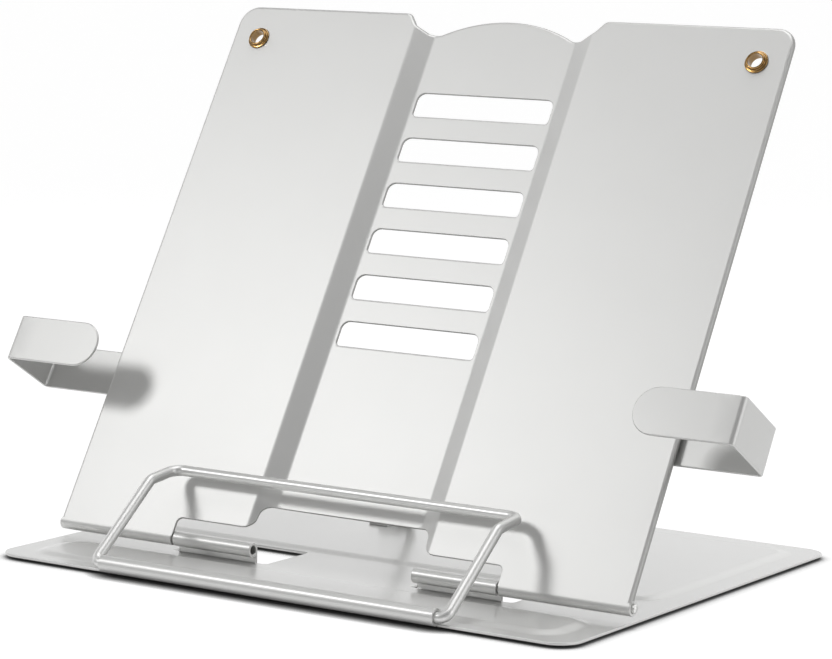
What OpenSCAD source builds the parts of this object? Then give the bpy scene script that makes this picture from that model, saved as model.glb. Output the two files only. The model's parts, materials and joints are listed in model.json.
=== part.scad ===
// Folding bookstand rack of pressed sheet metal and bent wire.
// A pressed base plate carries a hinged back plate with six slots for a wire prop,
// a swinging wire page rail along its front edge and two sliding page clips.
// Up is +Z and the reader sits on the -Y side. The origin is at the middle of the footprint, on the table.

/* [Base plate] */
// Width of the base plate
base_w = 230; // [210:1:250]
// Depth of the base plate
base_d = 190; // [180:1:215]
// Thickness of all the sheet metal
sheet_t = 1; // [0.8:0.1:1.1]
// Corner radius of the base plate
base_corner_r = 9; // [6:0.5:12]
// Height of the rim's underside above the table
base_lift = 1; // [0.8:0.1:2]
// Rise of the two pressed panels above the rim
panel_rise = 1; // [0.8:0.1:1.2]
// Width of the slope round a pressed panel
panel_run = 4.5; // [3:0.5:6]
// Corner radius of a pressed panel, at the middle of its slope
panel_corner_r = 8; // [6:0.5:11]
// Side margin of the pressed panels
panel_side = 10.5; // [8:0.5:14]
// Distance from the front rim to the front panel
front_panel_y = 8; // [7:0.5:9]
// Distance from the front panel to the hinge axis
panel_to_hinge = 6.4; // [5.5:0.1:8]
// Distance from the cut-outs to the rear panel
cutout_to_panel = 3.2; // [2.8:0.1:5]
// Distance from the rear panel to the rear rim
rear_margin = 10; // [7:0.5:14]

/* [Front barrel] */
// Length of the rolled barrel at the front edge
barrel_len = 134; // [120:1:138]
// Distance of the barrel's axis in front of the rim
barrel_out = 0.4; // [0.2:0.1:0.8]

/* [Hinge] */
// Distance of the hinge axis behind the front rim
hinge_y = 39.9; // [36:0.1:48]
// Clear height of the hinge curls above the rim
hinge_lift = 2.26; // [2:0.01:3.5]
// Diameter of the hinge pins
pin_d = 3; // [2.6:0.1:3]
// Distance from the middle to the inner end of a base knuckle
knuckle_in = 33; // [28:0.5:36]
// Distance from the middle to the outer end of a base knuckle
knuckle_out = 66; // [60:0.5:69]
// Gap between a base knuckle and the plate's curl
knuckle_gap = 0.8; // [0.5:0.1:1.5]
// Distance from the middle to the inner end of a hinge pin
pin_in = 40; // [38:0.5:50]
// Length of a hinge pin that shows past the plate's edge
pin_proud = 0.7; // [0.3:0.1:1]
// Length of the cut-outs behind the base knuckles
cutout_d = 26.3; // [22:0.1:30]
// Side relief beside a base knuckle in its cut-out
cutout_side = 3.6; // [2:0.1:4]
// Corner radius of the cut-outs
cutout_r = 1.5; // [1:0.1:2.5]
// Fillet radius at the foot of a base knuckle
foot_fillet = 1; // [0.5:0.1:1.5]

/* [Back plate] */
// Angle of the back plate above the table
tilt = 59.5; // [56:0.5:62]
// Width of the back plate
plate_w = 232; // [212:1:250]
// Height of the back plate above the hinge axis, along the plate
plate_h = 211.7; // [208:0.1:225]
// Corner radius at the top of the back plate
plate_corner_r = 7.5; // [5:0.5:12]
// Depth of the return flange at the plate's edges
flange_d = 3; // [2.6:0.1:3.2]
// Half width of the channel floor
channel_in = 29.6; // [27:0.1:34]
// Width of the channel's sloping walls
channel_run = 7.4; // [6:0.1:9]
// Depth of the channel floor behind the panels
channel_d = 3.4; // [3:0.1:3.8]
// Distance from the channel to the notch's shoulder at the top edge
notch_flare = 4; // [3:0.1:6]
// Distance from the channel to the foot of the notch's steep side
notch_step = 0.4; // [0.2:0.1:1]
// Depth of the notch at the channel wall
notch_wall_d = 4.6; // [4:0.1:6]
// Depth of the notch at the channel floor
notch_floor_d = 7; // [6.6:0.1:8]
// Radius of the arch over the channel
arch_r = 62; // [56:1:70]
// Drop of the arch's crown below the top edge
arch_drop = 0.4; // [0.1:0.1:1]
// Height of the plate's lower edge between the curls
lower_edge_h = 7; // [6:0.5:8]
// Height of the channel's lower edge
channel_foot_h = 16.5; // [14:0.5:20]
// Distance from the channel's outer bend in to the opening's side at the lower edge
foot_step = 2.5; // [1.5:0.1:4]
// Corner radius at the foot of the panels
foot_r = 4.5; // [3:0.1:6]

/* [Prop slots] */
// Number of prop slots
slot_count = 6; // [3:1:6]
// Sheet left beside a slot on the channel floor
slot_side = 1.3; // [1:0.1:3]
// Height of a slot
slot_h = 9.4; // [8:0.1:11]
// Corner radius of a slot
slot_r = 3; // [2:0.1:3.8]
// Height of the lowest slot above the hinge axis
slot_first = 84.1; // [80:0.1:92]
// Distance from the highest slot to the plate's top edge
slot_top = 35.85; // [28:0.05:40]

/* [Wire] */
// Diameter of the page rail's wire
rail_wire_d = 3.8; // [3.4:0.1:3.8]
// Distance from the barrel's end to the middle of a rail leg
rail_side = 3.5; // [3.2:0.1:6]
// Angle of the rail's legs above the table
rail_leg_angle = 38.2; // [36:0.1:41]
// Length of the rail's legs, from the barrel's axis to the bend
rail_leg = 39.2; // [36:0.1:40]
// Angle of the rail's shoulders above the table
rail_shoulder_angle = 6.8; // [5:0.1:9]
// Gap between the rail's top bar and the back plate
rail_gap = 3.2; // [3:0.1:5]
// Length of the rail's stub that sits in the barrel
rail_stub = 20; // [12:0.5:30]
// Bend radius at the rail's stubs
rail_stub_r = 3; // [2.6:0.1:3.1]
// Bend radius at the top corners of the rail
rail_corner_r = 4.5; // [3:0.1:6]
// Diameter of the prop's wire
prop_wire_d = 3.8; // [3.4:0.1:3.8]
// Side play of the prop in a slot
prop_play = 1.4; // [1:0.1:3]
// Distance of the prop's foot behind the hinge axis
prop_reach = 91.1; // [86:0.1:92]
// Distance of the prop's bar below the lowest slot
prop_drop = 7.6; // [7:0.1:9]
// Gap between the prop's bar and the back of the channel
prop_gap = 1; // [0.9:0.1:2]
// Distance from the prop's lower bend to a saddle
prop_stub_gap = 2; // [1:0.1:4]
// Bend radius of the prop's wire
prop_bend_r = 4; // [3.5:0.1:5]

/* [Prop saddles] */
// Width of a saddle strap
saddle_w = 8; // [6:0.5:9]
// Length of a saddle strap's feet
saddle_foot = 6; // [5:0.5:9]

/* [Page clips] */
// Width of a page clip's strap
clip_w = 17; // [14:0.5:20]
// Height of a page clip's middle above the hinge axis
clip_h = 58.7; // [50:0.1:62]
// Distance from the plate's side to a clip's outer face
clip_out = 31.4; // [26:0.1:38]
// Depth of a clip, from the front of its tab to the back of its strip
clip_depth = 26.8; // [22:0.1:30]
// Length of a clip's front tab
clip_tab = 38.4; // [32:0.1:44]
// Length of a clip's back strip
clip_strip = 79.4; // [76:0.1:84]
// Inner bend radius of a clip
clip_bend_in = 1; // [0.5:0.1:2]
// Length of a clip guide across the plate
guide_len = 30; // [26:0.5:32]
// Distance from the plate's side to a clip guide
guide_side = 8; // [6:0.5:12]
// Length of a clip guide's feet
guide_foot = 8; // [6:0.5:10]
// Length of the leaf spring's flat foot
leaf_foot = 4; // [3:0.5:6]
// Thickness of the leaf spring
leaf_t = 0.4; // [0.3:0.05:0.5]
// Width of the leaf spring
leaf_w = 8; // [6:0.5:12]

/* [Eyelets] */
// Distance of an eyelet from the plate's side
eyelet_side = 12; // [10:0.5:24]
// Distance of an eyelet below the plate's top edge
eyelet_top = 13.9; // [10:0.1:24]
// Diameter of an eyelet's hole
eyelet_bore = 5.4; // [4.6:0.1:5.6]
// Wall of an eyelet's barrel and lip
eyelet_wall = 0.7; // [0.5:0.05:0.9]
// Width of an eyelet's flange past its barrel
eyelet_rim = 0.9; // [0.7:0.1:1.5]
// Thickness of an eyelet's flange
eyelet_flange_t = 0.6; // [0.4:0.1:0.8]
// Height of an eyelet's lip above the plate
eyelet_lip = 1.8; // [1.4:0.1:2.4]
// Radius of the roll at an eyelet's back
eyelet_roll_r = 0.8; // [0.6:0.05:0.85]

/* [Pads] */
// Diameter of a rubber pad
pad_d = 10; // [8:0.5:12]
// Distance of a pad's middle from the panel's side
pad_side = 12.5; // [10:0.5:20]
// Distance of a rear pad's middle from the rear panel's edge
pad_end = 12.5; // [10:0.5:20]

/* [Clearances] */
// Radial running fit of wires and pins in their curls
turn_fit = 0.08; // [0.04:0.01:0.1]
// Gap around a hinge pin in the plate's own curls
press_gap = 0.01; // [0:0.01:0.02]
// Gap between sheet faces that slide on each other
slide_gap = 0.2; // [0.15:0.05:0.3]
// Gap between a wire and the sheet beside it
wire_gap = 0.3; // [0.3:0.05:0.6]

/* [Hidden] */
$fn = 64;

coat = [0.84, 0.84, 0.83];
wire_metal = [0.8, 0.8, 0.79];
gold = [0.8, 0.62, 0.3];
black_rubber = [0.1, 0.1, 0.1];

// Extra reach of a cutting solid past the faces that it cuts
cut = 2;
// Length by which a straight run of wire reaches into a bend
lap = 0.2;
// Growth of a wire's radius in its bends, which takes in the ends of the straight runs
bend_swell = 0.02;
right_angle = 90;
half_turn = 180;

rim_top = base_lift + sheet_t;
panel_top = rim_top + panel_rise;
pad_h = base_lift + panel_rise;
pin_r = pin_d / 2;
rail_r = rail_wire_d / 2;
prop_r = prop_wire_d / 2;
curl_r = pin_r + turn_fit + sheet_t;
barrel_r = rail_r + turn_fit + sheet_t;
barrel_y = -barrel_out;
barrel_z = rim_top + wire_gap + rail_r;
mid_y = (base_d - barrel_out - barrel_r) / 2;
hinge_z = rim_top + hinge_lift + curl_r;
prop_y = hinge_y + prop_reach;
prop_z = panel_top + wire_gap + prop_r;

panel_w = base_w - 2 * panel_side;
cutout_y = hinge_y + curl_r;
front_panel_d = hinge_y - panel_to_hinge - front_panel_y;
rear_panel_y = cutout_y + cutout_d + cutout_to_panel;
rear_panel_d = base_d - rear_margin - rear_panel_y;
pad_x = panel_w / 2 - pad_side;

// Depths across the plate are measured from the hinge axis, and are positive towards the reader
front_face = curl_r;
back_face = front_face - sheet_t;
floor_face = front_face - channel_d;
floor_back = floor_face - sheet_t;
flange_end = front_face - flange_d;
channel_out = channel_in + channel_run;
channel_slope = atan(channel_d / channel_run);
notch_top = channel_out + notch_flare;
notch_wall = channel_out + notch_step;
foot_gap = channel_out - foot_step;
slot_w = 2 * (channel_in - slot_side);
slot_pitch = (plate_h - slot_top - slot_first) / (slot_count - 1);
curl_in = knuckle_out + knuckle_gap;
curl_out = plate_w / 2 + sheet_t / 2;
eyelet_x = plate_w / 2 - eyelet_side;
eyelet_h = plate_h - eyelet_top;
eyelet_bore_r = eyelet_bore / 2;
eyelet_hole_r = eyelet_bore_r + eyelet_wall;

strip_front = flange_end - slide_gap;
strip_back = strip_front - sheet_t;
tab_front = strip_back + clip_depth;
clip_x = plate_w / 2 + clip_out;
clip_bend_r = clip_bend_in + sheet_t;
guide_reach = clip_w / 2 + slide_gap;
guide_x = plate_w / 2 - guide_side - guide_len;

// The rail's shoulders run from their bends to a bar that keeps its gap to the plate
rail_bend_y = barrel_y + rail_leg * cos(rail_leg_angle);
rail_bend_z = barrel_z + rail_leg * sin(rail_leg_angle);
rail_bend_depth = (hinge_y - rail_bend_y) * sin(tilt) + (rail_bend_z - hinge_z) * cos(tilt);
rail_shoulder = (rail_bend_depth - front_face - rail_gap - rail_r) / sin(tilt - rail_shoulder_angle);
rail_w = barrel_len + 2 * rail_side;

// The prop leans forward from its foot to the back of the channel floor
prop_w = slot_w - prop_wire_d - 2 * prop_play;
prop_stub = prop_bend_r + prop_stub_gap + saddle_w + sheet_t;
prop_bar_h = slot_first - prop_drop;
bar_depth = floor_back - prop_gap - prop_r;
bar_y = hinge_y + prop_bar_h * cos(tilt) - bar_depth * sin(tilt);
bar_z = hinge_z + prop_bar_h * sin(tilt) + bar_depth * cos(tilt);
prop_len = norm([bar_y - prop_y, bar_z - prop_z]);
prop_angle = atan2(bar_z - prop_z, bar_y - prop_y);

// Places its children, which are drawn from the front rim's middle, in the object's frame
module placed() {
    translate([0, -mid_y, 0])
        children();
}

// Lays its children, which are drawn flat with Y up the plate, on the tilted back plate
module on_plate() {
    placed()
        translate([0, hinge_y, hinge_z])
            rotate([tilt, 0, 0])
                children();
}

// Draws its child and the child's mirror image across the middle plane
module both_sides() {
    for (side = [0, 1])
        mirror([side, 0, 0])
            children();
}

// Flat outline in X and Z, pushed along Y from y0 to y1
module along_y(y0, y1) {
    translate([0, y1, 0])
        rotate([right_angle, 0, 0])
            linear_extrude(y1 - y0)
                children();
}

// Flat outline in Y and Z, pushed along X from x0 to x1
module along_x(x0, x1) {
    translate([x0, 0, 0])
        rotate([right_angle, 0, right_angle])
            linear_extrude(x1 - x0)
                children();
}

// Round bar along X from x0 to x1
module bar_x(x0, x1, r) {
    translate([x0, 0, 0])
        rotate([0, right_angle, 0])
            cylinder(h = x1 - x0, r = r);
}

// Round bar along Y from y0 to y1
module bar_y(y0, y1, r) {
    translate([0, y1, 0])
        rotate([right_angle, 0, 0])
            cylinder(h = y1 - y0, r = r);
}

// Bend of a wire in the XY plane around the origin, from the X axis through the given angle
module wire_bend(wire_r, bend_r, turn) {
    rotate_extrude(angle = turn)
        translate([bend_r, 0])
            circle(r = wire_r + bend_swell);
}

// Quarter bend from a leg along Y, which would end at the origin, to a run towards the middle
module wire_corner(wire_r, bend_r) {
    translate([-bend_r, -bend_r, 0])
        wire_bend(wire_r, bend_r, right_angle);
}

// Rectangle with round corners, centred
module round_rect(w, h, r) {
    square([w - 2 * r, h], center = true);
    square([w, h - 2 * r], center = true);
    for (x = [-1, 1], y = [-1, 1])
        translate([x * (w / 2 - r), y * (h / 2 - r)])
            circle(r = r);
}

// Raised panel with sloping sides and round corners, centred and standing on z = 0
module pressed_panel(w, d) {
    foot_x = (w + panel_run) / 2;
    foot_y = (d + panel_run) / 2;
    foot_corner = panel_corner_r + panel_run / 2;
    along_x(foot_corner - foot_x, foot_x - foot_corner)
        polygon(slope_section(foot_y));
    along_y(foot_corner - foot_y, foot_y - foot_corner)
        polygon(slope_section(foot_x));
    for (x = [-1, 1], y = [-1, 1])
        translate([x * (foot_x - foot_corner), y * (foot_y - foot_corner), 0])
            cylinder(h = panel_rise, r1 = foot_corner, r2 = foot_corner - panel_run);
}

function slope_section(half) = [
    [-half, 0], [half, 0], [half - panel_run, panel_rise], [panel_run - half, panel_rise]
];

// Both panels at height z, as a boss or as the hollow under it
module panels(z) {
    translate([0, front_panel_y + front_panel_d / 2, z])
        pressed_panel(panel_w, front_panel_d);
    translate([0, rear_panel_y + rear_panel_d / 2, z])
        pressed_panel(panel_w, rear_panel_d);
}

module base_plate() {
    color(coat)
        placed()
            difference() {
                union() {
                    translate([0, base_d / 2, base_lift])
                        linear_extrude(sheet_t)
                            round_rect(base_w, base_d, base_corner_r);
                    panels(rim_top);
                    both_sides()
                        base_knuckle();
                    translate([0, barrel_y, barrel_z])
                        bar_x(-barrel_len / 2, barrel_len / 2, barrel_r);
                }
                panels(base_lift);
                both_sides()
                    knuckle_cutout();
                both_sides()
                    translate([0, hinge_y, hinge_z])
                        bar_x(knuckle_in - cut, knuckle_out + cut, pin_r + turn_fit);
                translate([0, barrel_y, barrel_z])
                    bar_x(-barrel_len / 2 - cut, barrel_len / 2 + cut, rail_r + turn_fit);
            }
}

// Tab bent up at the front edge of its cut-out and rolled forwards over the pin
module base_knuckle() {
    riser_y = hinge_y + curl_r - sheet_t;
    translate([0, hinge_y, hinge_z])
        bar_x(knuckle_in, knuckle_out, curl_r);
    translate([knuckle_in, riser_y, base_lift])
        cube([knuckle_out - knuckle_in, sheet_t, hinge_z - base_lift]);
    along_x(knuckle_in, knuckle_out)
        translate([riser_y - foot_fillet, rim_top])
            difference() {
                square(foot_fillet);
                translate([0, foot_fillet])
                    circle(r = foot_fillet);
            }
}

// Opening in the base that the knuckle's tab was bent out of
module knuckle_cutout() {
    w = knuckle_out - knuckle_in + 2 * cutout_side;
    translate([(knuckle_in + knuckle_out) / 2, cutout_y + cutout_d / 2, base_lift - cut])
        linear_extrude(sheet_t + 2 * cut)
            round_rect(w, cutout_d, cutout_r);
}

// Section across the plate at a given depth behind its front face, with the channel's two bends on each side
function plate_section(depth) = let (
    shift = depth * tan(channel_slope / 2),
    half = plate_w / 2
) [
    [half, front_face], [channel_out, front_face], [channel_in, floor_face],
    [-channel_in, floor_face], [-channel_out, front_face], [-half, front_face],
    [-half, front_face - depth], [-channel_out - shift, front_face - depth],
    [-channel_in - shift, floor_face - depth], [channel_in + shift, floor_face - depth],
    [channel_out + shift, front_face - depth], [half, front_face - depth]
];

function unit(v) = v / norm(v);
function left_of(v) = [-v[1], v[0]];

// Corner q of the path p, q, r, moved by d to the left of both of its edges
function moved_corner(p, q, r, d) = let (
    a = left_of(unit(q - p)),
    b = left_of(unit(r - q))
) q + d * (a + b) / (1 + a * b);

// Right half of the notch above the channel, moved by d into the sheet
function notch_points(d) = let (
    outer = [2 * notch_top, plate_h],
    shoulder = [notch_top, plate_h],
    wall = [notch_wall, plate_h - notch_wall_d],
    floor_corner = [channel_in + sheet_t, plate_h - notch_floor_d],
    middle = [0, plate_h - notch_floor_d]
) [
    [0, plate_h + cut],
    moved_corner(outer, shoulder, wall, d) + [0, cut + d],
    moved_corner(outer, shoulder, wall, d),
    moved_corner(shoulder, wall, floor_corner, d),
    moved_corner(wall, floor_corner, middle, d),
    middle - [0, d]
];

// Outline of the plate's sides and top, moved by d into the sheet
module plate_outline(d) {
    half = plate_w / 2 - d;
    r = plate_corner_r - d;
    top = plate_h - d;
    difference() {
        union() {
            translate([-half, 0])
                square([2 * half, top - r]);
            translate([r - half, 0])
                square([2 * (half - r), top]);
            for (side = [-1, 1])
                translate([side * (half - r), top - r])
                    circle(r = r);
        }
        difference() {
            for (side = [0, 1])
                mirror([side, 0])
                    polygon(notch_points(d));
            translate([0, plate_h - arch_drop - arch_r])
                circle(r = arch_r - d, $fn = 180);
        }
    }
}

// Opening below the plate's lower edge, between its curls
module lower_opening() {
    opening_in = curl_in - wire_gap;
    square([2 * opening_in, 2 * lower_edge_h], center = true);
    round_rect(2 * foot_gap, 2 * channel_foot_h, foot_r);
    for (side = [0, 1])
        mirror([side, 0])
            translate([foot_gap, lower_edge_h])
                difference() {
                    square(foot_r);
                    translate([foot_r, foot_r])
                        circle(r = foot_r);
                }
}

// Solid that follows the plate's section for the given depth behind its front face
module plate_slab(depth) {
    along_y(0, plate_h + cut)
        polygon(plate_section(depth));
}

// Straight solid through the whole depth of the plate
module through_plate() {
    translate([0, 0, floor_face - flange_d - cut])
        linear_extrude(channel_d + flange_d + 2 * cut)
            children();
}

module back_plate() {
    color(coat)
        on_plate()
            difference() {
                union() {
                    intersection() {
                        plate_slab(sheet_t);
                        through_plate()
                            plate_outline(0);
                    }
                    intersection() {
                        plate_slab(flange_d);
                        through_plate()
                            difference() {
                                plate_outline(0);
                                translate([0, -cut])
                                    square([plate_w - 2 * sheet_t, 3 * cut], center = true);
                                plate_outline(sheet_t);
                            }
                    }
                    both_sides()
                        bar_x(curl_in, curl_out, curl_r);
                }
                through_plate()
                    lower_opening();
                through_plate()
                    for (i = [0:slot_count - 1])
                        translate([0, slot_first + i * slot_pitch])
                            round_rect(slot_w, slot_h, slot_r);
                both_sides()
                    bar_x(curl_in - cut, curl_out + cut, pin_r + press_gap);
                through_plate()
                    for (side = [-1, 1])
                        translate([side * eyelet_x, eyelet_h])
                            circle(r = eyelet_hole_r + press_gap);
            }
}

module hinge_pin() {
    color(wire_metal)
        on_plate()
            bar_x(pin_in, curl_out + pin_proud, pin_r);
}

module hinge_pin_left() {
    mirror([1, 0, 0])
        hinge_pin();
}

module hinge_pin_right() {
    hinge_pin();
}

// Bend from a rail leg, which would end at the origin, down into its shoulder
module rail_bend(turn, trim) {
    translate([0, -trim, -rail_corner_r])
        rotate([0, -right_angle, 0])
            wire_bend(rail_r, rail_corner_r, turn);
}

// Stub in the barrel, its bend and a leg of the page rail, up to the leg's upper bend
module rail_leg_run(leg_x, turn, trim) {
    bar_x(leg_x - rail_stub_r - rail_stub, leg_x - rail_stub_r + lap, rail_r);
    translate([leg_x, 0, 0])
        mirror([0, 1, 0])
            wire_corner(rail_r, rail_stub_r);
    translate([leg_x, 0, 0])
        bar_y(rail_stub_r - lap, rail_leg - trim + lap, rail_r);
    translate([leg_x, rail_leg, 0])
        rail_bend(turn, trim);
}

module page_rail() {
    leg_x = rail_w / 2;
    turn = rail_leg_angle - rail_shoulder_angle;
    trim = rail_corner_r * tan(turn / 2);
    bar_end = leg_x - rail_corner_r + lap;
    color(wire_metal)
        placed()
            translate([0, barrel_y, barrel_z])
                rotate([rail_leg_angle, 0, 0]) {
                    both_sides()
                        rail_leg_run(leg_x, turn, trim);
                    translate([0, rail_leg, 0])
                        rotate([-turn, 0, 0]) {
                            both_sides()
                                translate([leg_x, 0, 0])
                                    bar_y(trim - lap, rail_shoulder - rail_corner_r + lap, rail_r);
                            both_sides()
                                translate([leg_x, rail_shoulder, 0])
                                    wire_corner(rail_r, rail_corner_r);
                            translate([0, rail_shoulder, 0])
                                bar_x(-bar_end, bar_end, rail_r);
                        }
                }
}

// Stub under a saddle, its bend, a leg of the prop and the leg's upper bend
module prop_leg_run(leg_x) {
    bar_x(leg_x + prop_bend_r - lap, leg_x + prop_stub, prop_r);
    translate([leg_x, 0, 0])
        rotate([0, 0, half_turn])
            wire_corner(prop_r, prop_bend_r);
    translate([leg_x, 0, 0])
        bar_y(prop_bend_r - lap, prop_len - prop_bend_r + lap, prop_r);
    translate([leg_x, prop_len, 0])
        wire_corner(prop_r, prop_bend_r);
}

module prop_wire() {
    leg_x = prop_w / 2;
    bar_end = leg_x - prop_bend_r + lap;
    color(wire_metal)
        placed()
            translate([0, prop_y, prop_z])
                rotate([prop_angle, 0, 0]) {
                    both_sides()
                        prop_leg_run(leg_x);
                    translate([0, prop_len, 0])
                        bar_x(-bar_end, bar_end, prop_r);
                }
}

// Strap over one of the prop's stubs, with a foot in front of it and one behind
module prop_saddle() {
    inner = prop_r + turn_fit;
    outer = inner + sheet_t;
    reach = outer + saddle_foot;
    stub_end = prop_w / 2 + prop_stub;
    color(coat)
        placed()
            translate([0, prop_y, prop_z])
                along_x(stub_end - sheet_t - saddle_w, stub_end - sheet_t)
                    difference() {
                        union() {
                            circle(r = outer);
                            translate([-outer, panel_top - prop_z])
                                square([2 * outer, prop_z - panel_top]);
                            translate([-reach, panel_top - prop_z])
                                square([2 * reach, sheet_t]);
                        }
                        circle(r = inner);
                        translate([-inner, panel_top - prop_z - cut])
                            square([2 * inner, prop_z - panel_top + cut]);
                    }
}

module prop_saddle_left() {
    mirror([1, 0, 0])
        prop_saddle();
}

module prop_saddle_right() {
    prop_saddle();
}

// Side view of a clip's strap: the front tab, the outer wall and the back strip
module clip_section() {
    inner_r = clip_bend_r - sheet_t;
    difference() {
        translate([clip_x - clip_strip, strip_back])
            clip_block(clip_strip, clip_depth, clip_bend_r);
        translate([clip_x - clip_strip - cut, strip_front])
            clip_block(clip_strip + cut - sheet_t, clip_depth - 2 * sheet_t, inner_r);
        translate([clip_x - clip_strip - cut, strip_front + cut])
            square([clip_strip - clip_tab + cut, clip_depth]);
    }
}

// Rectangle from the origin whose two corners at its far side are round
module clip_block(w, h, r) {
    square([w - r, h]);
    translate([0, r])
        square([w, h - 2 * r]);
    for (y = [r, h - r])
        translate([w - r, y])
            circle(r = r);
}

module page_clip() {
    half = clip_w / 2;
    color(coat)
        on_plate()
            intersection() {
                along_y(clip_h - half, clip_h + half)
                    clip_section();
                union() {
                    translate([clip_x - clip_tab + half, clip_h - half, strip_front + cut])
                        cube([clip_tab, clip_w, clip_depth]);
                    translate([clip_x - clip_tab + half, clip_h, strip_front + cut])
                        cylinder(h = clip_depth, r = half);
                    translate([clip_x - clip_strip - cut, clip_h - half, strip_back - cut])
                        cube([clip_strip + 2 * cut, clip_w, sheet_t + 2 * cut + cut]);
                }
            }
}

module page_clip_left() {
    mirror([1, 0, 0])
        page_clip();
}

module page_clip_right() {
    page_clip();
}

// Hat-shaped bracket behind the plate that a clip's strip slides in
module clip_guide() {
    depth = back_face - strip_back + slide_gap;
    reach = guide_reach + sheet_t;
    color(coat)
        on_plate()
            translate([0, clip_h, back_face])
                along_x(guide_x, guide_x + guide_len)
                    difference() {
                        union() {
                            translate([-reach, -depth - sheet_t])
                                square([2 * reach, depth + sheet_t]);
                            translate([-reach - guide_foot, -sheet_t])
                                square([2 * (reach + guide_foot), sheet_t]);
                        }
                        translate([-guide_reach, -depth])
                            square([2 * guide_reach, depth + cut]);
                    }
}

module clip_guide_left() {
    mirror([1, 0, 0])
        clip_guide();
}

module clip_guide_right() {
    clip_guide();
}

// Bowed leaf behind the plate that keeps a clip's strip from sliding by itself
module clip_spring() {
    rise = back_face - strip_front - wire_gap;
    half_bow = guide_len / 2 - leaf_foot;
    bow_r = (half_bow * half_bow + rise * rise) / (2 * rise);
    color(wire_metal)
        on_plate()
            translate([guide_x + guide_len / 2, 0, back_face])
                along_y(clip_h - leaf_w / 2, clip_h + leaf_w / 2)
                    intersection() {
                        union() {
                            translate([0, bow_r - rise])
                                difference() {
                                    circle(r = bow_r, $fn = 180);
                                    circle(r = bow_r - leaf_t, $fn = 180);
                                }
                            translate([half_bow - leaf_t, -leaf_t])
                                square([leaf_foot, leaf_t]);
                        }
                        translate([-guide_len / 2, -2 * rise])
                            square([guide_len, 2 * rise]);
                    }
}

module clip_spring_left() {
    mirror([1, 0, 0])
        clip_spring();
}

module clip_spring_right() {
    clip_spring();
}

// Brass ring set in the plate, with a flange and a round lip in front and a roll behind
module eyelet() {
    lip_r = eyelet_wall / 2;
    lip_top = front_face + eyelet_lip - lip_r;
    roll_middle = back_face - eyelet_roll_r;
    color(gold)
        on_plate()
            translate([eyelet_x, eyelet_h, 0])
                rotate_extrude() {
                    translate([eyelet_bore_r, roll_middle])
                        square([eyelet_wall, lip_top - roll_middle]);
                    translate([eyelet_bore_r + lip_r, lip_top])
                        circle(r = lip_r);
                    translate([eyelet_bore_r, front_face])
                        square([eyelet_wall + eyelet_rim, eyelet_flange_t]);
                    translate([eyelet_bore_r + eyelet_roll_r, roll_middle])
                        circle(r = eyelet_roll_r);
                }
}

module eyelet_left() {
    mirror([1, 0, 0])
        eyelet();
}

module eyelet_right() {
    eyelet();
}

// Rubber pad in the hollow under a pressed panel
module pad(side, y) {
    color(black_rubber)
        placed()
            translate([side * pad_x, y, 0])
                cylinder(h = pad_h, r = pad_d / 2);
}

front_pad_y = front_panel_y + front_panel_d / 2;
rear_pad_y = rear_panel_y + rear_panel_d - pad_end;

module pad_front_left() {
    pad(-1, front_pad_y);
}

module pad_front_right() {
    pad(1, front_pad_y);
}

module pad_rear_left() {
    pad(-1, rear_pad_y);
}

module pad_rear_right() {
    pad(1, rear_pad_y);
}

base_plate();
back_plate();
hinge_pin_left();
hinge_pin_right();
page_rail();
page_clip_left();
page_clip_right();
clip_guide_left();
clip_guide_right();
clip_spring_left();
clip_spring_right();
prop_wire();
prop_saddle_left();
prop_saddle_right();
eyelet_left();
eyelet_right();
pad_front_left();
pad_front_right();
pad_rear_left();
pad_rear_right();
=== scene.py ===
"""Looks of the folding bookstand: silver-grey painted sheet, bent wire, brass eyelets and rubber pads.

Lengths are in millimetres and become metres where a mesh is made. Pieces on the back plate are drawn
flat, with x across the plate, h up it from the hinge axis and depth towards the reader.
"""

import json
import math

import bpy
import numpy as np
from mathutils import Matrix, Vector
from mathutils.geometry import delaunay_2d_cdt


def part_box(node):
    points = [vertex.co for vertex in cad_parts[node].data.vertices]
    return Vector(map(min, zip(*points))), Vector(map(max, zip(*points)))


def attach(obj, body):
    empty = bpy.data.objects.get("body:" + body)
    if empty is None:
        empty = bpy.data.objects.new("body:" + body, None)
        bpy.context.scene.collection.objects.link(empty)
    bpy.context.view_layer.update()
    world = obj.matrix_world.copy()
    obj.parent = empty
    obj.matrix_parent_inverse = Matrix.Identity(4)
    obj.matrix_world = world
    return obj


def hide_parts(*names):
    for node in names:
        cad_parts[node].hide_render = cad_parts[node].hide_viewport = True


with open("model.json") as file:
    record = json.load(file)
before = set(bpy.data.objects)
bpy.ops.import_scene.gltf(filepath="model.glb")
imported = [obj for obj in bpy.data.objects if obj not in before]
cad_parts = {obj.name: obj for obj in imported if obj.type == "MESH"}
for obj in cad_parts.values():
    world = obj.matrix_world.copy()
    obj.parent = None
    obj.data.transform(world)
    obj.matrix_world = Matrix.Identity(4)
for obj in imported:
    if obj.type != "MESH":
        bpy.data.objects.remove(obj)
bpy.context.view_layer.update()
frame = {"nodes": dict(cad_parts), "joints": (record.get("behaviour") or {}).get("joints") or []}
MM = 0.001
JOINT = {j["name"]: j for j in frame["joints"]}


def joint_axis(name):
    """Y and Z of a joint's axis, in millimetres."""
    return np.array(JOINT[name]["pos_m"][1:]) / MM


HINGE = joint_axis("plate_fold")
RAIL_AXIS = joint_axis("rail_swing")
PROP_AXIS = joint_axis("prop_swing")
TILT = math.radians(59.5)

# Sheet metal, wire and pins
SHEET = 1.0
EDGE_R = 0.3
TURN_FIT = 0.08
SLIDE_GAP = 0.2
WIRE_R = 1.9
PIN_R = 1.5
CURL_R = PIN_R + TURN_FIT + SHEET
BARREL_R = WIRE_R + TURN_FIT + SHEET
ROLL_GAP = 0.35
ROLL_STEP = 12
SUNK = 0.02

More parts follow.
